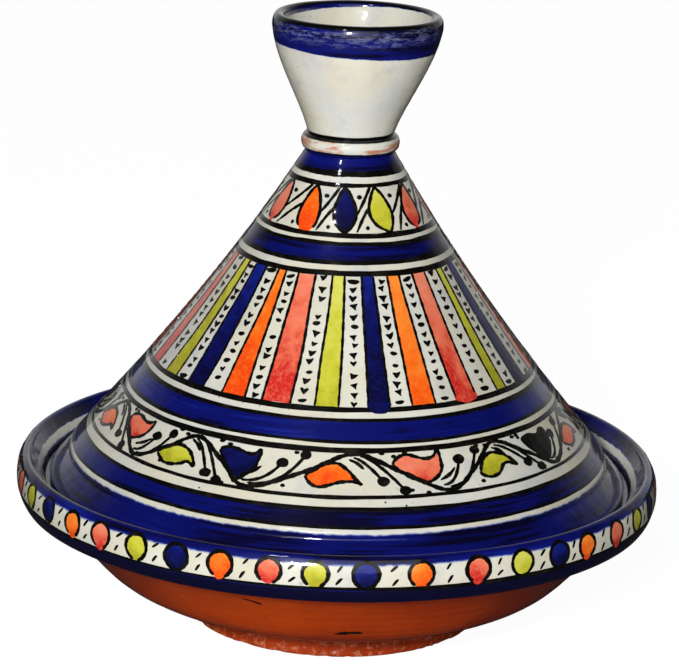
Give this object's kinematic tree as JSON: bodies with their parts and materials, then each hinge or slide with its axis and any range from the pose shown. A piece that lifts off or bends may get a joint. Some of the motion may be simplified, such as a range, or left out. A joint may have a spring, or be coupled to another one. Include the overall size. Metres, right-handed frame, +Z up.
{
  "type": "tagine pot",
  "caption": "Glazed earthenware tagine: round footed dish with a rolled rim, and a lift-off conical lid with a flared cup as its handle.",
  "frame": {"origin": "centre of the foot ring's underside, on the surface the pot stands on", "axes": "+Z up along the axis of revolution, towards the mouth of the cup handle; +X to the right and -Y towards the viewer"},
  "size_m": [0.3042, 0.3042, 0.2885],
  "materials": {
    "terracotta_glaze": "clear-glazed red earthenware, glossy and slightly scuffed",
    "cobalt_glaze": "deep cobalt brushwork under a glossy clear glaze",
    "cream_glaze": "cream-white slip under a glossy clear glaze",
    "black_line": "brown-black painted line under a glossy clear glaze",
    "coral_glaze": "coral-red painted underglaze, glossy",
    "orange_glaze": "orange painted underglaze, glossy",
    "lime_glaze": "yellow-green painted underglaze, glossy"
  },
  "bodies": {
    "dish": {"dish_bowl": "terracotta_glaze", "dish_foot_ring": "terracotta_glaze"},
    "lid": {"lid_cone": "cobalt_glaze", "lid_collar_bead": "cream_glaze", "lid_cup_handle": "cream_glaze"}
  },
  "joints": [
    {"name": "lid_lift", "type": "slide", "parent": "dish", "child": "lid", "axis": [0, 0, 1], "range_m": [0, 0.12]}
  ]
}
